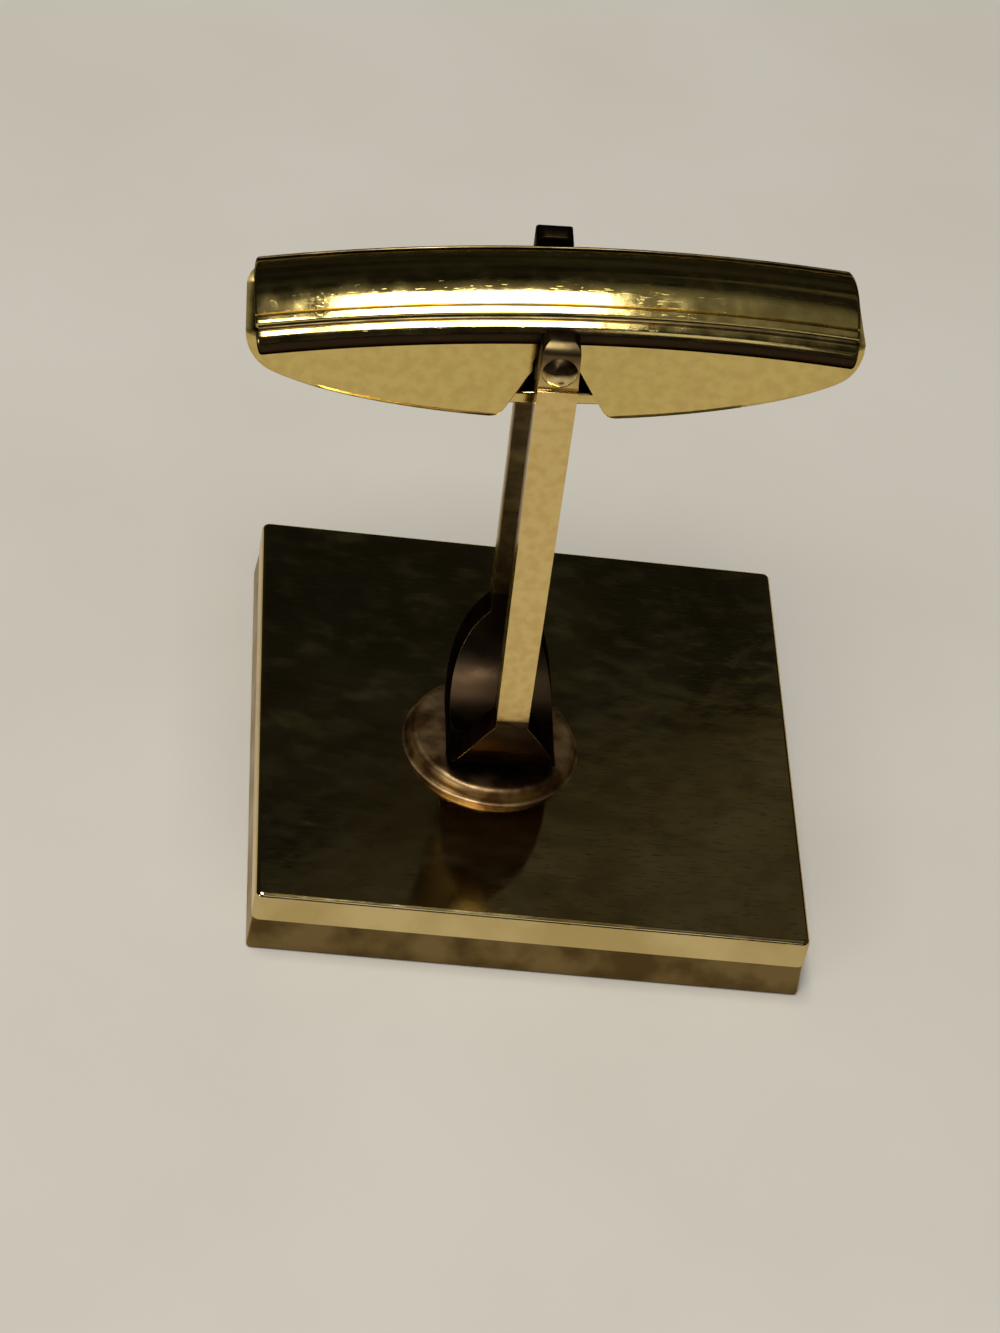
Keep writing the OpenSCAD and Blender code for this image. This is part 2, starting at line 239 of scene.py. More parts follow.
def polished_metal(
    name, bright, toned, patch_mm, rough, waves, grain, scratches, worn=None, painted_shade_and_tarnish="#34281B"
):
    """A polished metal with toned patches. Its waves, grain and hair scratches are given as their size across
    in millimetres, their height in micrometres and, but for the waves, their stretch along the axes"""
    material = bpy.data.materials.new(name)
    material.use_nodes = True
    tree = material.node_tree
    tree.nodes.clear()
    place = add_node(tree, "TexCoord", {}).outputs["Object"]

    # Colour: patches of two shades, and over them the brown of painted shade and tarnish that the mesh marks
    # at its vertices
    tone = add_node(tree, "MapRange", span(noise_of(tree, place, patch_mm, 5.0), 0.42, 0.62))
    metal = add_node(
        tree, "Mix", {MIX_SHARE: tone, MIX_A: linear(bright), MIX_B: linear(toned)}, data_type="RGBA"
    )
    mark = add_node(tree, "Attribute", {}, attribute_name="painted_shade_and_tarnish").outputs["Fac"]
    uneven = add_node(
        tree, "MapRange", span(noise_of(tree, place, 0.55, 4.0, (3, 3, 1), 13.0), 0.38, 0.6, 0.86, 1.05)
    )
    shade_and_tarnish_share = add_node(tree, "Math", {0: mark, 1: uneven}, operation="MULTIPLY")
    colour = add_node(
        tree, "Mix",
        {MIX_SHARE: shade_and_tarnish_share, MIX_A: metal.outputs[MIX_COLOUR], MIX_B: linear(painted_shade_and_tarnish)},
        data_type="RGBA",
    )
    # The edge tint goes dark along with the painted shade and tarnish
    edge_tint = add_node(
        tree, "Mix",
        {MIX_SHARE: shade_and_tarnish_share, MIX_A: linear("#F2E2BE"), MIX_B: linear("#3A2E22")},
        data_type="RGBA",
    )

    # Roughness: smudges, and more of it where the metal is worn, raw from the cut, or marked with painted
    # shade and tarnish
    smudge = noise_of(tree, place, 1.7 * patch_mm, 4.0, offset=7.0)
    roughness = add_node(tree, "MapRange", span(smudge, 0.35, 0.68, *rough))
    cut = add_node(tree, "Attribute", {}, attribute_name="cut").outputs["Fac"]
    rougher = [worn(tree, place)] if worn else []
    for where, amount in ((shade_and_tarnish_share, 0.2), (cut, 0.4)):
        rougher.append(add_node(tree, "Math", {0: where, 1: amount}, operation="MULTIPLY"))
    for more in rougher:
        roughness = add_node(tree, "Math", {0: roughness, 1: more}, operation="ADD")

    # Skin: waves under grain under scratches
    wave = noise_of(tree, place, waves[0], 2.0, offset=3.0)
    fine = noise_of(tree, place, grain[0], 3.0, grain[2])
    hair = noise_of(tree, place, scratches[0], 1.0, scratches[2], 11.0)
    lines = add_node(tree, "MapRange", span(hair, 0.66, 0.72))
    under = {}
    for height, height_um in ((wave, waves[1]), (fine, grain[1]), (lines, scratches[1])):
        skin = add_node(
            tree, "Bump", {"Height": height, "Distance": height_um * MM * MM, "Strength": 1.0, **under}
        )
        under = {"Normal": skin}

    shader = add_node(
        tree,
        "BsdfPrincipled",
        {
            "Base Color": colour.outputs[MIX_COLOUR],
            "Metallic": 1.0,
            "Roughness": roughness,
            "Specular Tint": edge_tint.outputs[MIX_COLOUR],
            "Normal": skin,
        },
    )
    add_node(tree, "OutputMaterial", {"Surface": shader})
    return material


# Gold-plated brass, mirror polished and then worn: reflections swim a little, and hair scratches cross it
PLATE_GOLD = polished_metal(
    "gold_plated_brass_mirror", "#D6C18A", "#C4AD74", patch_mm=3.0, rough=(0.05, 0.14),
    waves=(2.0, 9.0), grain=(0.55, 2.0, (1.6, 1, 1)), scratches=(0.05, 0.6, (14, 1, 1)), worn=crinkled,
)
# The same plating on the pad, dulled and stained by the soldering
PAD_GOLD = polished_metal(
    "gold_plated_brass_soldered", "#B09064", "#6E5034", patch_mm=0.8, rough=(0.3, 0.48),
    waves=(1.3, 60.0), grain=(0.2, 1.2, (1, 1, 1)), scratches=(0.05, 0.6, (6, 1, 1)),
)
# The same plating on the face plate's sides, darker and rougher
FACE_GOLD = polished_metal(
    "gold_plated_brass_darker", "#7C6843", "#584627", patch_mm=1.6, rough=(0.14, 0.3),
    waves=(1.2, 6.0), grain=(0.15, 0.6, (6, 6, 1)), scratches=(0.05, 0.6, (14, 14, 1)),
)
# Gold-plated brass strip, tumbled bright: soft mottling from the bending and fine lines along the strip
POST_GOLD = polished_metal(
    "gold_plated_brass_strip", "#E0C482", "#D5B775", patch_mm=0.35, rough=(0.12, 0.22),
    waves=(0.8, 4.0), grain=(0.12, 0.6, (1, 1, 6)), scratches=(0.04, 0.5, (1, 1, 16)), painted_shade_and_tarnish="#33271A",
)
# Gold-plated brass, hammered: a softly dented head, brown with painted shade on its upper half
PIN_GOLD = polished_metal(
    "gold_plated_brass_hammered", "#E2CC96", "#B3925A", patch_mm=0.4, rough=(0.16, 0.26),
    waves=(0.3, 6.0), grain=(0.08, 0.8, (1, 1, 1)), scratches=(0.05, 0.5, (6, 1, 1)),
)
# Gold-plated pressed brass, polished, with the grain of wear that breaks highlights into sparkles
TOGGLE_GOLD = polished_metal(
    "gold_plated_brass_pressed", "#D8C077", "#CEB46E", patch_mm=0.4, rough=(0.06, 0.15),
    waves=(0.6, 2.5), grain=(0.16, 1.2, (1.6, 1, 1)), scratches=(0.05, 0.6, (12, 1, 1)),
)
# Plain turned steel: grey, with fine lines round the turning
CAM_STEEL = polished_metal(
    "turned_steel", "#8E8A82", "#6F6A60", patch_mm=0.4, rough=(0.22, 0.34),
    waves=(0.5, 1.0), grain=(0.06, 0.8, (1, 6, 1)), scratches=(0.05, 0.5, (8, 1, 1)),
)
# Blued spring steel: dark, with a dull even skin
SPRING_STEEL = polished_metal(
    "blued_spring_steel", "#3B3732", "#2A2723", patch_mm=0.5, rough=(0.3, 0.42),
    waves=(0.5, 1.0), grain=(0.08, 0.8, (1, 1, 6)), scratches=(0.05, 0.5, (1, 1, 10)),
)


# Mesh tools

def wire(bm, points, closed=False):
    """A few vertices joined by edges"""
    verts = [bm.verts.new(p) for p in points]
    pairs = list(zip(verts, verts[1:])) + ([(verts[-1], verts[0])] if closed else [])
    return verts, [bm.edges.new(pair) for pair in pairs]


def arc(centre, r, start, end, steps):
    """Points of an arc in the plane of the section, from angle start to end"""
    angles = [start + (end - start) * i / steps for i in range(steps + 1)]
    return [(centre[0] + r * cos(a), centre[1] + r * sin(a)) for a in angles]


def pull_across(bm, edges, width):
    """Extrudes the edges along Y by width"""
    made = bmesh.ops.extrude_edge_only(bm, edges=edges)["geom"]
    verts = [g for g in made if isinstance(g, bmesh.types.BMVert)]
    bmesh.ops.translate(bm, vec=(0, width, 0), verts=verts)


def clean(bm):
    """Merges doubles, drops faces without area and turns the rest outwards"""
    bmesh.ops.remove_doubles(bm, verts=bm.verts, dist=TINY)
    bmesh.ops.dissolve_degenerate(bm, edges=bm.edges, dist=TINY)
    bmesh.ops.recalc_face_normals(bm, faces=bm.faces)


def painted_shade_and_tarnish(bm, amount):
    """Marks how much painted shade and tarnish the metal carries at each vertex, by a function of its place
    """
    layer = bm.verts.layers.float.new("painted_shade_and_tarnish")
    for v in bm.verts:
        v[layer] = min(FULL_SHADE_AND_TARNISH, max(0.0, amount(v.co)))


def piece_of(bm, name, material):
    """Makes the bmesh, whose sizes are in millimetres, an object in metres"""
    bm.transform(Matrix.Scale(MM, 4))
    mesh = bpy.data.meshes.new(name)
    bm.to_mesh(mesh)
    bm.free()
    mesh.materials.append(material)
    piece = bpy.data.objects.new(name, mesh)
    bpy.context.scene.collection.objects.link(piece)
    return piece


def smooth(piece, angle=35):
    """Shades the mesh smooth, with sharp edges where it turns by more than angle"""
    mesh = piece.data
    mesh.polygons.foreach_set("use_smooth", [True] * len(mesh.polygons))
    mesh.set_sharp_from_angle(angle=radians(angle))


def rounded_edges(piece, width, segments=3, angle=30):
    """Breaks the sharp edges with a small round"""
    bevel = piece.modifiers.new("rounded_edges", "BEVEL")
    bevel.width = width * MM
    bevel.segments = segments
    bevel.limit_method = "ANGLE"
    bevel.angle_limit = radians(angle)
    bevel.harden_normals = False


def settle(piece):
    """Applies the piece's modifiers to its mesh"""
    graph = bpy.context.evaluated_depsgraph_get()
    made = bpy.data.meshes.new_from_object(piece.evaluated_get(graph))
    piece.modifiers.clear()
    old = piece.data
    piece.data = made
    made.name = piece.name
    bpy.data.meshes.remove(old)


def fit(piece, body, node):
    """Hands the finished piece to the frame"""
    smooth(piece)
    weighted = piece.modifiers.new("flat_faces_stay_flat", "WEIGHTED_NORMAL")
    weighted.keep_sharp = True
    weighted.weight = 60
    settle(piece)
    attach(piece, body)
    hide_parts(node)


# Plates

def slab(side, t, corner_r, edge_r, foot_inset):
    """Square slab standing on z = 0, with round corners, a round upper edge and a drawn-in foot"""
    bm = bmesh.new()
    bmesh.ops.create_cube(bm, size=1)
    bmesh.ops.scale(bm, vec=(side, side, t), verts=bm.verts)
    bmesh.ops.translate(bm, vec=(0, 0, t / 2), verts=bm.verts)
    uprights = [e for e in bm.edges if abs(e.verts[0].co.z - e.verts[1].co.z) > t / 2]
    bmesh.ops.bevel(
        bm, geom=uprights, offset=corner_r, offset_type="OFFSET", segments=8,
        profile=0.5, affect="EDGES", material=-1,
    )
    for v in bm.verts:
        if v.co.z < t / 2:
            v.co.x *= 1 - 2 * foot_inset / side
            v.co.y *= 1 - 2 * foot_inset / side
    rim = [e for e in bm.edges if min(v.co.z for v in e.verts) > t - TINY]
    bmesh.ops.bevel(
        bm, geom=rim, offset=edge_r, offset_type="OFFSET", segments=5,
        profile=0.5, affect="EDGES", material=-1,
    )
    return bm


def back_plate():
    """Polished square plate"""
    bm = slab(PLATE_SIDE, BACK_PLATE_T, BACK_CORNER_R, BACK_EDGE_R, 0)
    bmesh.ops.translate(bm, vec=(0, 0, BACK_Z), verts=bm.verts)
    clean(bm)
    fit(piece_of(bm, "back_plate_body", PLATE_GOLD), "base", "back_plate")


def face_plate():
    """Front plate, whose sides flare towards the table"""
    side = PLATE_SIDE + 2 * FACE_FLARE
    bm = slab(side, FACE_PLATE_T, FACE_CORNER_R, FACE_EDGE_R, FACE_FLARE + JOINT_STEP)
    bmesh.ops.scale(bm, vec=(1, 1, -1), verts=bm.verts)
    bmesh.ops.translate(bm, vec=(0, 0, FACE_PLATE_T), verts=bm.verts)
    clean(bm)
    fit(piece_of(bm, "face_plate_body", FACE_GOLD), "base", "face_plate")


def foot_pad():
    """Round pad with a rolled rim and a thin fillet of solder where it meets the plate"""
    bm = bmesh.new()
    rim = arc((PAD_D / 2 - PAD_EDGE_R, PAD_T - PAD_EDGE_R), PAD_EDGE_R, 0, pi / 2, 8)
    fillet = arc((PAD_D / 2 + SOLDER_R, SOLDER_R), SOLDER_R, 1.5 * pi, pi, 5)
    points = [(0, 0)] + fillet + rim + [(PAD_FLAT_SHARE * PAD_D / 2, PAD_T), (0, PAD_T)]
    verts, edges = wire(bm, [(r, 0, z) for r, z in points])
    bmesh.ops.spin(
        bm, geom=verts + edges, cent=(0, 0, 0), axis=(0, 0, 1), angle=2 * pi,
        steps=96, use_merge=True,
    )
    bmesh.ops.translate(bm, vec=(FOOT_X - PAD_SHIFT, FOOT_Y, PAD_Z), verts=bm.verts)
    clean(bm)
    fit(piece_of(bm, "foot_pad_disc", PAD_GOLD), "base", "foot_pad")


# Post

def strip_half_width(z):
    """Half the strip's width at height z: leaf, then tapered leg"""
    if z < LEAF_H:
        return LEAF_W / 2 - LEAF_R + sqrt(LEAF_R**2 - z**2)
    share = (z - LEAF_H) / (SHOULDER_Z - LEAF_H)
    return (LEG_FOOT_W + (LEG_TOP_W - LEG_FOOT_W) * share) / 2


def raise_face(bm, face, dz):
    """Extrudes a level face by dz and returns the new face"""
    made = bmesh.ops.extrude_face_region(bm, geom=[face])["geom"]
    verts = [g for g in made if isinstance(g, bmesh.types.BMVert)]
    bmesh.ops.translate(bm, vec=(0, 0, dz), verts=verts)
    new = next(g for g in made if isinstance(g, bmesh.types.BMFace))
    bmesh.ops.delete(bm, geom=[face], context="FACES_ONLY")
    return new


def shape_head(face, side, top_gap):
    """Sets the four corners of a level face to the head's section, top_gap below its top"""
    def shrink(r):
        return r - sqrt(r * r - (r - top_gap) ** 2) if top_gap < r else 0.0

    half_w = HEAD_W / 2 - shrink(HEAD_CORNER_R)
    outer = HEAD_OUTER - shrink(HEAD_BROW_R)
    middle = side * (LEG_GAP / 2 + HEAD_OUTER) / 2
    for v in face.verts:
        v.co.x = half_w if v.co.x > 0 else -half_w
        v.co.y = side * (outer if abs(v.co.y) > abs(middle) else LEG_GAP / 2)


def post():
    """One strip bent into a U on its side, whose legs end in narrower heads"""
    bm = bmesh.new()
    half = strip_half_width(LEG_OUTER)
    corners = [(-half, -LEG_OUTER), (half, -LEG_OUTER), (half, -LEG_GAP / 2), (-half, -LEG_GAP / 2)]
    foot = bm.faces.new([bm.verts.new((x, y, LEG_OUTER)) for x, y in corners])
    bent = bmesh.ops.spin(
        bm, geom=[foot], cent=(0, 0, LEG_OUTER), axis=(1, 0, 0), angle=pi, steps=48, use_merge=False
    )["geom_last"]
    other = next(g for g in bent if isinstance(g, bmesh.types.BMFace))
    for face in (foot, other):
        side = -1 if face.calc_center_median().y < 0 else 1
        face = raise_face(bm, face, LEAF_H - LEG_OUTER)
        for share in LEG_LEVEL_SHARES:
            level = face.calc_center_median().z
            face = raise_face(bm, face, LEAF_H + share * (SHOULDER_Z - LEAF_H) - level)
        for v in bm.verts:
            if v.co.z < SHOULDER_Z + NEAR:
                v.co.x = strip_half_width(v.co.z) * (1 if v.co.x > 0 else -1)
        face = raise_face(bm, face, 0.0)
        shape_head(face, side, HEAD_TOP)
        for gap in [HEAD_BROW_R * (1 - sin(pi / 2 * i / BROW_STEPS)) for i in range(BROW_STEPS + 1)]:
            level = face.calc_center_median().z
            face = raise_face(bm, face, HEAD_TOP - gap - level)
            shape_head(face, side, gap)

    def post_painted_shade(co):
        """Painted shade: the inside of the U, the leaf and the heads are browner than the legs"""
        above_leaf = co.z - LEAF_H
        if abs(co.y) < LEG_GAP / 2 + NEAR:
            inside = INSIDE_LEG_SHADE if above_leaf > LEAF_FADE else FULL_SHADE_AND_TARNISH
        else:
            inside = 0
        if co.y < -LEG_GAP / 2 - NEAR:
            leaf = (FRONT_SHADE_TOP - above_leaf) / FRONT_FADE
        else:
            leaf = (LEAF_FADE - above_leaf) / LEAF_FADE
        head = 1 if co.z > SHOULDER_Z + NEAR else 0
        return max(inside, leaf, head)

    painted_shade_and_tarnish(bm, post_painted_shade)
    bm.transform(POST)
    bmesh.ops.bisect_plane(
        bm, geom=bm.verts[:] + bm.edges[:] + bm.faces[:], dist=1e-5,
        plane_co=(0, 0, FOOT_Z), plane_no=(0, 0, 1), clear_inner=True,
    )
    bmesh.ops.holes_fill(bm, edges=[e for e in bm.edges if e.is_boundary], sides=0)
    clean(bm)
    piece = piece_of(bm, "post_strip", POST_GOLD)
    rounded_edges(piece, STRIP_EDGE_R, segments=4, angle=28)
    settle(piece)

    # Painted highlight: the leaf's rounded edges, whose normals lie between the two slants, get less of the
    # painted shade than its faces
    edge_highlight_share, edge_highlight_top = 0.6, (FOOT_Z + LEAF_H + 0.5) * MM
    low_slant, high_slant = 0.25, 0.72
    marks = piece.data.attributes["painted_shade_and_tarnish"].data
    for v in piece.data.vertices:
        if low_slant < abs(v.normal.x) < high_slant and v.co.z < edge_highlight_top:
            marks[v.index].value *= edge_highlight_share
    fit(piece, "base", "post")


def pivot_pin():
    """Pin whose two ends are hammered into low heads"""
    bm = bmesh.new()
    r = (RIVET_D**2 / 4 + RIVET_H**2) / (2 * RIVET_H)
    rim = asin(RIVET_D / 2 / r)
    tilts = [rim * i / DOME_STEPS for i in range(DOME_STEPS + 1)]
    flat = HEAD_OUTER + RIVET_FLAT_SHARE * RIVET_H
    dome = [(r * sin(a), min(flat, HEAD_OUTER + RIVET_H - r + r * cos(a))) for a in tilts]
    half = dome + [(PIN_D / 2, HEAD_OUTER), (PIN_D / 2, 0)]
    points = [(x, y, 0) for x, y in half] + [(x, -y, 0) for x, y in reversed(half[:-1])]
    verts, edges = wire(bm, points)
    bmesh.ops.spin(
        bm, geom=verts + edges, cent=(0, 0, 0), axis=(0, 1, 0), angle=2 * pi, steps=64, use_merge=True
    )
    clean(bm)
    for v in bm.verts:
        rise = abs(v.co.y) - HEAD_OUTER
        if rise > 2 * NEAR:
            blow = noise.noise(v.co * DENTS_PER_MM + DENT_PLACE)
            v.co.y -= HAMMER_DEPTH * blow * rise / RIVET_H * (1 if v.co.y > 0 else -1)

    # Painted shade: the upper half of each head is brown
    brown, brown_foot, brown_fade = 0.95, -0.03, 0.14
    painted_shade_and_tarnish(bm, lambda co: brown * (co.z - brown_foot) / brown_fade)
    bm.transform(POST @ Matrix.Translation((0, 0, PIN_RISE)))
    fit(piece_of(bm, "pivot_pin_rivet", PIN_GOLD), "base", "pivot_pin")


def detent_cam():
    """Square sleeve on the pin with its corners turned round"""
    bm = bmesh.new()
    half = CAM_SIDE / 2
    turn = acos(half / (CAM_CORNER_D / 2))
    outline = []
    for quarter in range(4):
        outline += arc((0, 0), CAM_CORNER_D / 2, quarter * pi / 2 + turn, (quarter + 1) * pi / 2 - turn, 4)
    bore = arc((0, 0), PIN_D / 2, 0, 2 * pi * (BORE_STEPS - 1) / BORE_STEPS, BORE_STEPS - 1)
    for loop in (outline, bore):
        edges = wire(bm, [(x, -INNER_W / 2, z) for x, z in loop], closed=True)[1]
        pull_across(bm, edges, INNER_W)
    for y in (-INNER_W / 2, INNER_W / 2):
        ends = [e for e in bm.edges if all(abs(v.co.y - y) < TINY for v in e.verts)]
        bmesh.ops.triangle_fill(bm, edges=ends, use_beauty=True)
    clean(bm)
    bm.transform(TOGGLE)
    fit(piece_of(bm, "detent_cam_sleeve", CAM_STEEL), "base", "detent_cam")


# Toggle

def groove_depth(y):
    """Depth of the two grooves at y, and less than nothing where the band between them swells"""
    inner = CAP_W / 2 - INNER_GROOVE_IN
    outer = CAP_W / 2 - OUTER_GROOVE_IN
    depth = 0.0
    for place, width in ((inner, INNER_GROOVE_W), (outer, OUTER_GROOVE_W)):
        share = abs(y - place) / (width / 2)
        if share < 1:
            depth += GROOVE_DEPTH * (1 - share * share)
    if inner < y < outer:
        depth -= BAND_SWELL * sin(pi * (y - inner) / (outer - inner))
    return depth


def cap_outline():
    """Half of the cap's section as (height, place across), from the crown's middle round to the underside"""
    inner = asin((CAP_W / 2 - INNER_GROOVE_IN - INNER_GROOVE_W) / CROWN_R)
    outer = asin((CAP_W / 2 - OUTER_GROOVE_IN + OUTER_GROOVE_W) / CROWN_R)
    points = arc((CROWN_CENTRE, 0), CROWN_R, 0, inner, 16)[:-1]
    points += arc((CROWN_CENTRE, 0), CROWN_R, inner, outer, 44)[:-1]
    points += arc((CROWN_CENTRE, 0), CROWN_R, outer, CROWN_ANGLE, 5)[:-1]
    grooved = []
    for h, y in points:
        shrink = 1 - groove_depth(y) / CROWN_R
        grooved.append((CROWN_CENTRE + (h - CROWN_CENTRE) * shrink, y * shrink))
    roll = arc((0, ROLL_Y), ROLL_R, CROWN_ANGLE, 2 * pi - acos(WEB_RISE / ROLL_R), 40)
    return grooved + roll + [(WEB_RISE, 0)]


def round_ends(bm, centre_z, half_angle):
    """Draws the cap's section in evenly towards its two ends"""
    for v in bm.verts:
        across_arch = v.co.z - centre_z
        reach = hypot(v.co.x, across_arch)
        gap = ARCH_R * (half_angle - abs(atan2(v.co.x, across_arch)))
        if gap > CAP_END_R:
            continue
        inset = CAP_END_R * (1 - sqrt(max(0.0, 1 - (1 - max(gap, 0) / CAP_END_R) ** 2)))
        height = reach - ARCH_R
        thick = CROWN_CENTRE + CROWN_R - WEB_RISE
        scale = (ARCH_R + WEB_RISE + (height - WEB_RISE) * (1 - inset / thick)) / reach
        v.co.x *= scale
        v.co.z = centre_z + across_arch * scale
        v.co.y *= 1 - inset / (CAP_W / 2)


def toggle_cap():
    """Arched strip with a crown, grooves and rolled edges: its section is turned about the arch's centre"""
    bm = bmesh.new()
    centre_z = ROLL_RISE - ARCH_R
    half_angle = asin(HALF_LEN / ARCH_R)
    end_angle = CAP_END_R / ARCH_R
    verts, edges = wire(bm, [(0, y, ROLL_RISE + h) for h, y in cap_outline()])
    bmesh.ops.rotate(bm, cent=(0, 0, centre_z), matrix=Matrix.Rotation(-half_angle, 3, "Y"), verts=verts)
    last = verts + edges
    for angle, steps in ((end_angle, 8), (2 * (half_angle - end_angle), 110), (end_angle, 8)):
        last = bmesh.ops.spin(
            bm, geom=last, cent=(0, 0, centre_z), axis=(0, 1, 0), angle=angle, steps=steps, use_merge=False
        )["geom_last"]

    # Heights over the arch where the painted shade under the rolled edges ends and where that of the grooves
    # begins
    under_top, under_fade, groove_foot, groove_shade_amount = 0.24, 0.08, 0.3, 1.2

    def cap_shade_and_end_brown(co):
        """Painted shade under the rolled edges and in the grooves, and brown at the cut ends"""
        height = hypot(co.x, co.z - centre_z) - ARCH_R
        end_gap = ARCH_R * (half_angle - abs(atan2(co.x, co.z - centre_z)))
        under = (under_top - height) / under_fade if co.y > WEB_HALF_W else 0
        groove = groove_shade_amount * groove_depth(co.y) / GROOVE_DEPTH if height > groove_foot else 0
        return max(under, groove, 1 - end_gap / CAP_END_R)

    painted_shade_and_tarnish(bm, cap_shade_and_end_brown)
    round_ends(bm, centre_z, half_angle)
    bmesh.ops.mirror(bm, geom=bm.verts[:] + bm.edges[:] + bm.faces[:], merge_dist=TINY, axis="Y")
    bmesh.ops.remove_doubles(bm, verts=bm.verts, dist=TINY)
    bmesh.ops.holes_fill(bm, edges=[e for e in bm.edges if e.is_boundary], sides=0)
    clean(bm)

    # Painted shade: the far flank is browner than the near one
    flank_start, flank_fade = 0.93, 0.06
    layer = bm.verts.layers.float["painted_shade_and_tarnish"]
    for v in bm.verts:
        v[layer] = max(v[layer], min(FAR_FLANK_SHADE, (v.co.y - flank_start) / flank_fade))
    bm.transform(TOGGLE)
    fit(piece_of(bm, "toggle_cap_rolled", TOGGLE_GOLD), "toggle", "toggle_cap")


def belly_z(x):
    """Height of the tray's belly at x"""
    share = min(1.0, abs(x) / TRAY_HALF_LEN)
    depth = BELLY_LEVEL - BELLY_Z
    return BELLY_LEVEL - depth * (1 - share**BELLY_POWER) ** (1 / BELLY_POWER)


def tray_half_w(x):
    """Half the tray's width at x, drawn in at the round corners"""
    past = max(0.0, abs(x) - (TRAY_HALF_LEN - TRAY_CORNER_R))
    return TRAY_HALF_W - TRAY_CORNER_R + sqrt(max(0.0, TRAY_CORNER_R**2 - past**2))


def tray_point(along, across):
    """Place on the tray's outer skin; both shares run from -1 to 1, and across goes over the belly"""
    x = TRAY_HALF_LEN * sin(along * pi / 2)
    low = belly_z(x)
    into_lip = max(0.0, abs(x) - TRAY_HALF_LEN + LIP_REACH)
    top = ROLL_RISE + WEB_RISE - ARCH_R + sqrt(ARCH_R**2 - x * x)
    top -= TRAY_LIP_R - sqrt(TRAY_LIP_R**2 - into_lip * into_lip)
    half_w = tray_half_w(x)
    fold = min(TRAY_FOLD_R, TRAY_FOLD_SHARE * (top - low))
    share = abs(across)
    belly_share, wall_share = 0.4, 0.6
    if share <= belly_share:
        y, z = share / belly_share * (half_w - fold), low
    elif share <= wall_share:
        a = (share - belly_share) / (wall_share - belly_share) * pi / 2
        y, z = half_w - fold + fold * sin(a), low + fold * (1 - cos(a))
    else:
        y, z = half_w, low + fold + (share - wall_share) / (1 - wall_share) * (top - low - fold)
    return x, y if across > 0 else -y, z


def notch_half(t):
    """Half the notch's width at a share t of its depth"""
    flare = NOTCH_SLOPE_SHARE * t + (1 - NOTCH_SLOPE_SHARE) * t**NOTCH_POWER
    return (NOTCH_W + (NOTCH_MOUTH_W - NOTCH_W) * flare) / 2


def notch_cutter():
    """Solid of the notch, which the tray is cut with"""
    bm = bmesh.new()
    depth = NOTCH_TOP - BELLY_Z
    shares = [1 - cos(pi / 2 * i / NOTCH_STEPS) for i in range(NOTCH_STEPS + 1)]
    shares = sorted(set(shares + [1 - s for s in shares]))
    right = [(notch_half(t), NOTCH_TOP - depth * t) for t in shares]
    outline = right + [(side * NOTCH_MOUTH_W / 2, BELLY_Z - CUT_PAST) for side in (1, -1)]
    outline += [(-x, z) for x, z in reversed(right)]
    face = bm.faces.new([bm.verts.new((x, -TRAY_HALF_W - CUT_PAST, z)) for x, z in outline])
    made = bmesh.ops.extrude_face_region(bm, geom=[face])["geom"]
    verts = [g for g in made if isinstance(g, bmesh.types.BMVert)]
    bmesh.ops.translate(bm, vec=(0, 2 * (TRAY_HALF_W + CUT_PAST), 0), verts=verts)
    clean(bm)
    return piece_of(bm, "notch_cutter", TOGGLE_GOLD)


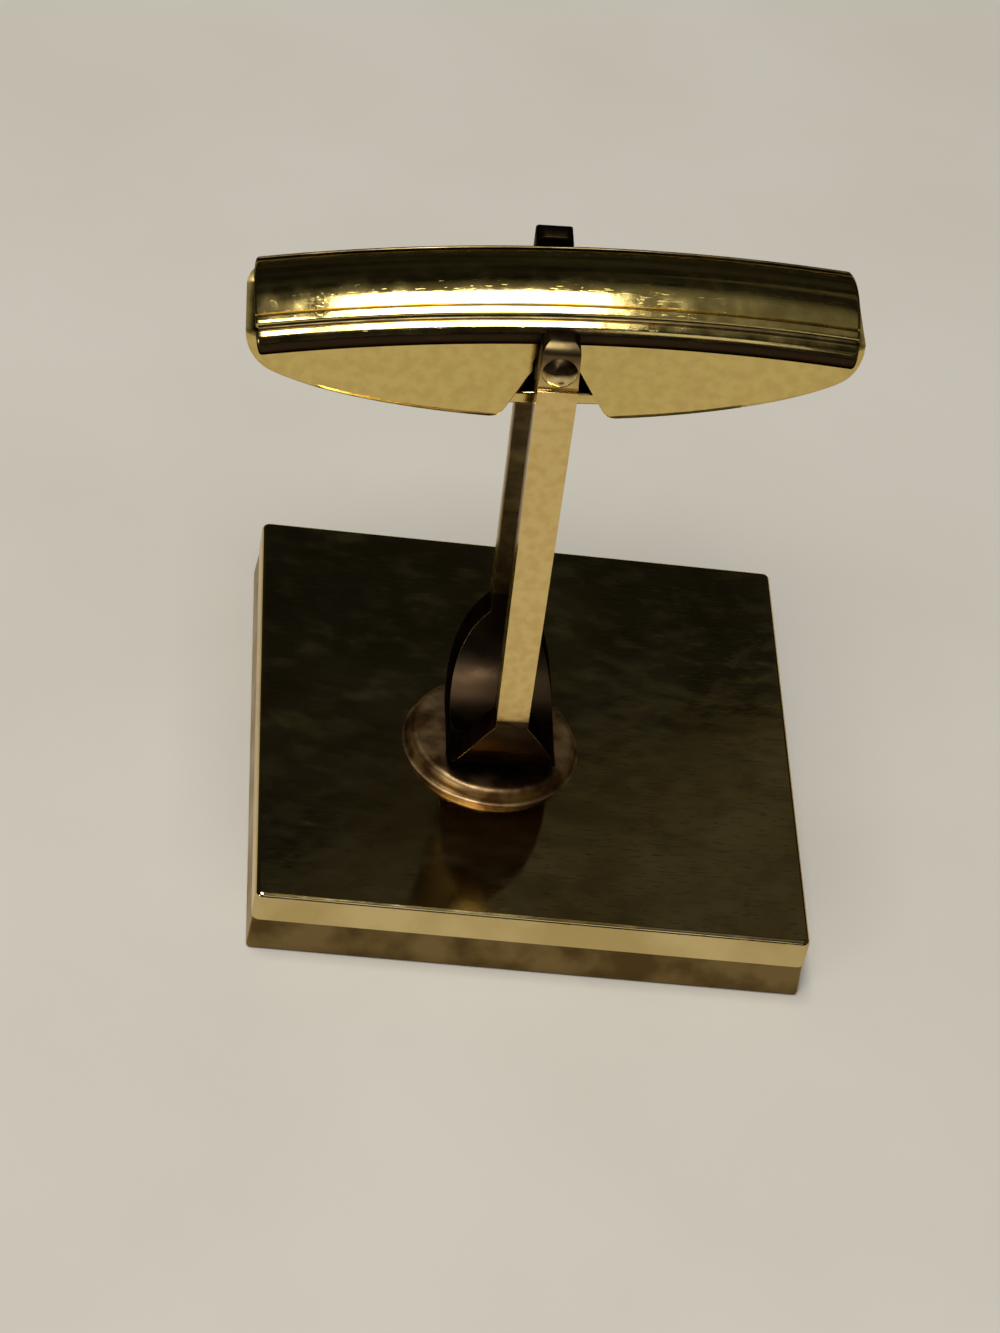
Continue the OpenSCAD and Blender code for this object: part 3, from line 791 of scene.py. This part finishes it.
def toggle_tray():
    """Pressed boat with a notch under the pin and a strap across the notch"""
    bm = bmesh.new()
    bmesh.ops.create_grid(bm, x_segments=120, y_segments=40, size=1)
    for v in bm.verts:
        v.co = tray_point(round(v.co.x, 5), round(v.co.y, 5))
    for end in (-1, 1):
        ring = [v for v in bm.verts if v.co.x * end > TRAY_HALF_LEN - TINY]
        tops = sorted(ring, key=lambda v: v.co.z)[-2:]
        bm.edges.new(tops)
        edges = [e for e in bm.edges if all(v.co.x * end > TRAY_HALF_LEN - TINY for v in e.verts)]
        bmesh.ops.edgeloop_fill(bm, edges=edges)
    clean(bm)
    if sum(f.normal.z * f.calc_area() for f in bm.faces) > 0:
        bmesh.ops.reverse_faces(bm, faces=bm.faces)
    piece = piece_of(bm, "toggle_tray_boat", TOGGLE_GOLD)
    wall = piece.modifiers.new("wall", "SOLIDIFY")
    wall.thickness = WALL_T * MM
    wall.offset = -1
    wall.use_even_offset = True
    cutter = notch_cutter()
    cut = piece.modifiers.new("notch", "BOOLEAN")
    cut.operation = "DIFFERENCE"
    cut.solver = "EXACT"
    cut.object = cutter
    settle(piece)
    bpy.data.objects.remove(cutter)
    rounded_edges(piece, RIM_R, segments=2, angle=40)
    settle(piece)
    bm = bmesh.new()
    bm.from_mesh(piece.data)

    # The rim is raw metal at both ends, where the sheet was cut
    rim_reach, rim_depth = 0.4, 0.08
    layer = bm.verts.layers.float.new("cut")
    for v in bm.verts:
        x, z = v.co.x / MM, v.co.z / MM
        along = asin(min(1.0, abs(x) / TRAY_HALF_LEN)) * 2 / pi
        on_rim = abs(x) > HALF_LEN - rim_reach and z > tray_point(along, 1)[2] - rim_depth
        v[layer] = 1.0 if on_rim else 0.0

    # Strap
    place = Matrix.Translation((0, 0, (BELLY_Z + STRAP_RISE + STRAP_T / 2) * MM))
    size = Matrix.Diagonal((STRAP_LEN, 2 * (TRAY_HALF_W - WALL_T - STRAP_CLEAR), STRAP_T, 1))
    made = bmesh.ops.create_cube(bm, size=MM, matrix=place @ size)["verts"]
    edges = list({e for v in made for e in v.link_edges})
    bmesh.ops.bevel(
        bm, geom=edges, offset=STRAP_EDGE_R * MM, offset_type="OFFSET", segments=3,
        profile=0.5, affect="EDGES", material=-1,
    )
    metres = Matrix.Scale(MM, 4)
    bm.transform(metres @ TOGGLE @ metres.inverted())
    bm.to_mesh(piece.data)
    bm.free()
    fit(piece, "toggle", "toggle_tray")


def detent_spring():
    """Upside-down U of thin spring steel"""
    bm = bmesh.new()
    half = CAM_SIDE / 2 + PRONG_GAP + SPRING_T
    top = ROLL_RISE + WEB_RISE - SEAT_GAP
    right = arc((half - SPRING_BEND_R, top - SPRING_BEND_R), SPRING_BEND_R, 0, pi / 2, 8)
    left = arc((SPRING_BEND_R - half, top - SPRING_BEND_R), SPRING_BEND_R, pi / 2, pi, 8)
    outline = [(half, -PRONG_DROP)] + right + left + [(-half, -PRONG_DROP)]
    pull_across(bm, wire(bm, [(x, -INNER_W / 2, z) for x, z in outline])[1], INNER_W)
    bmesh.ops.recalc_face_normals(bm, faces=bm.faces)
    if sum(f.normal.z for f in bm.faces) < 0:
        bmesh.ops.reverse_faces(bm, faces=bm.faces)
    bm.transform(TOGGLE)
    piece = piece_of(bm, "detent_spring_clip", SPRING_STEEL)
    wall = piece.modifiers.new("sheet", "SOLIDIFY")
    wall.thickness = SPRING_T * MM
    wall.offset = -1
    wall.use_even_offset = True
    rounded_edges(piece, SPRING_EDGE_R, segments=2, angle=40)
    settle(piece)
    fit(piece, "toggle", "detent_spring")


# Floor, light and camera

def floor():
    """Plain pale table top"""
    bm = bmesh.new()
    bmesh.ops.create_circle(bm, cap_ends=True, segments=96, radius=420)
    piece_of(bm, "table_top", table_paint())


def table_paint():
    """Matt painted board with faint wide clouds"""
    material = bpy.data.materials.new("matt_painted_board")
    material.use_nodes = True
    tree = material.node_tree
    tree.nodes.clear()
    place = add_node(tree, "TexCoord", {}).outputs["Object"]
    cloud = add_node(tree, "MapRange", span(noise_of(tree, place, 14, 3.0), 0.35, 0.65))
    colour = add_node(
        tree, "Mix", {MIX_SHARE: cloud, MIX_A: linear("#CBC5B9"), MIX_B: linear("#C6C0B3")}, data_type="RGBA"
    )
    shader = add_node(
        tree,
        "BsdfPrincipled",
        {"Base Color": colour.outputs[MIX_COLOUR], "Roughness": 0.6, "Specular IOR Level": 0.2},
    )
    add_node(tree, "OutputMaterial", {"Surface": shader})
    return material


def lamp(name, place, target, width, length, radiance):
    """Soft white lamp at place, in metres, that shines at target with an even radiance"""
    data = bpy.data.lights.new(name, "AREA")
    data.shape = "RECTANGLE"
    data.size = width
    data.size_y = length
    data.energy = radiance * pi * width * length
    obj = bpy.data.objects.new(name, data)
    bpy.context.scene.collection.objects.link(obj)
    obj.location = place
    obj.rotation_mode = "QUATERNION"
    obj.rotation_quaternion = (Vector(target) - Vector(place)).to_track_quat("-Z", "Y")


def room():
    """Dim room with a glow round the lamp overhead and one lighter patch of wall.
    Directions are unit vectors: z is 1 overhead and x is 1 at the right"""
    world = bpy.data.worlds.new("dim_room")
    bpy.context.scene.world = world
    world.use_nodes = True
    tree = world.node_tree
    tree.nodes.clear()
    way = add_node(tree, "TexCoord", {}).outputs["Generated"]
    x, _, z = add_node(tree, "SeparateXYZ", {0: way}).outputs
    cloud = add_node(tree, "TexNoise", {"Vector": way, "Scale": 5.0, "Detail": 4.0})
    blotch = add_node(tree, "MapRange", span(cloud, 0.4, 0.7))
    aside = add_node(tree, "MapRange", span(x, -0.36, -0.22))
    overhead = add_node(tree, "MapRange", span(z, 0.86, 0.95))
    glow = add_node(tree, "Math", {0: overhead, 1: aside}, operation="MULTIPLY")
    right = add_node(tree, "Math", {0: x, 1: 0.45}, operation="MULTIPLY")
    slant = add_node(tree, "Math", {0: z, 1: right}, operation="ADD")
    patch_foot = add_node(tree, "MapRange", span(slant, 0.749, 0.757))
    patch_top = add_node(tree, "MapRange", span(z, 0.71, 0.74, 1.0, 0.0))
    patch = add_node(tree, "Math", {0: patch_foot, 1: patch_top}, operation="MULTIPLY")
    sky = linear("#171716")
    for share, colour in ((blotch, "#2B2A27"), (glow, "#66665E"), (patch, "#444238")):
        mixed = add_node(tree, "Mix", {MIX_SHARE: share, MIX_A: sky, MIX_B: linear(colour)}, data_type="RGBA")
        sky = mixed.outputs[MIX_COLOUR]
    background = add_node(tree, "Background", {"Color": sky, "Strength": 1.0})
    add_node(tree, "OutputWorld", {"Surface": background})


# The photograph's camera, found by fitting the plate's and the toggle's outlines
CAMERA_AZIMUTH = radians(9.93)
CAMERA_ELEVATION = radians(42.11)
CAMERA_ROLL = radians(12.28)
CAMERA_DISTANCE = 132.0
CAMERA_SHIFT = (-0.84, 1.84)
FOCAL_PIXELS = 4172
IMAGE_HEIGHT = 1333
SENSOR = 36.0


def camera():
    """The photograph's view: it looks down at the back plate's polished side"""
    forward = Vector(
        (
            sin(CAMERA_AZIMUTH) * cos(CAMERA_ELEVATION),
            cos(CAMERA_AZIMUTH) * cos(CAMERA_ELEVATION),
            -sin(CAMERA_ELEVATION),
        )
    )
    level = Vector((cos(CAMERA_AZIMUTH), -sin(CAMERA_AZIMUTH), 0))
    upright = level.cross(forward)
    right = level * cos(CAMERA_ROLL) + upright * sin(CAMERA_ROLL)
    up = upright * cos(CAMERA_ROLL) - level * sin(CAMERA_ROLL)
    place = right * CAMERA_SHIFT[0] + up * CAMERA_SHIFT[1] - forward * CAMERA_DISTANCE
    place.z += PAD_Z
    data = bpy.data.cameras.new("camera")
    data.sensor_fit = "AUTO"
    data.sensor_width = SENSOR
    data.lens = FOCAL_PIXELS * SENSOR / IMAGE_HEIGHT
    data.clip_start = 0.005
    data.clip_end = 10
    obj = bpy.data.objects.new("camera", data)
    bpy.context.scene.collection.objects.link(obj)
    turn = Matrix((right, up, -forward)).transposed()
    obj.matrix_world = Matrix.Translation(place * MM) @ turn.to_4x4()
    bpy.context.scene.camera = obj


camera()
floor()
room()
lamp("lamp_over", (-0.078, -0.135, 0.6), (-0.078, -0.135, 0), width=0.168, length=0.54, radiance=13.5)
lamp("lamp_left", (-0.215, -0.24, 0.6), (-0.215, -0.24, 0), width=0.045, length=0.24, radiance=10.0)
lamp("lamp_front", (0.08, -0.47, 0.36), (0, 0, 0.01), width=0.1, length=0.2, radiance=0.7)
lamp("lamp_low_left", (-0.36, -0.36, 0.14), (0, 0, 0.01), width=0.14, length=0.14, radiance=5.0)
bpy.context.scene.view_settings.view_transform = "Standard"

back_plate()
face_plate()
foot_pad()
post()
pivot_pin()
detent_cam()
toggle_cap()
toggle_tray()
detent_spring()

bpy.context.view_layer.update()
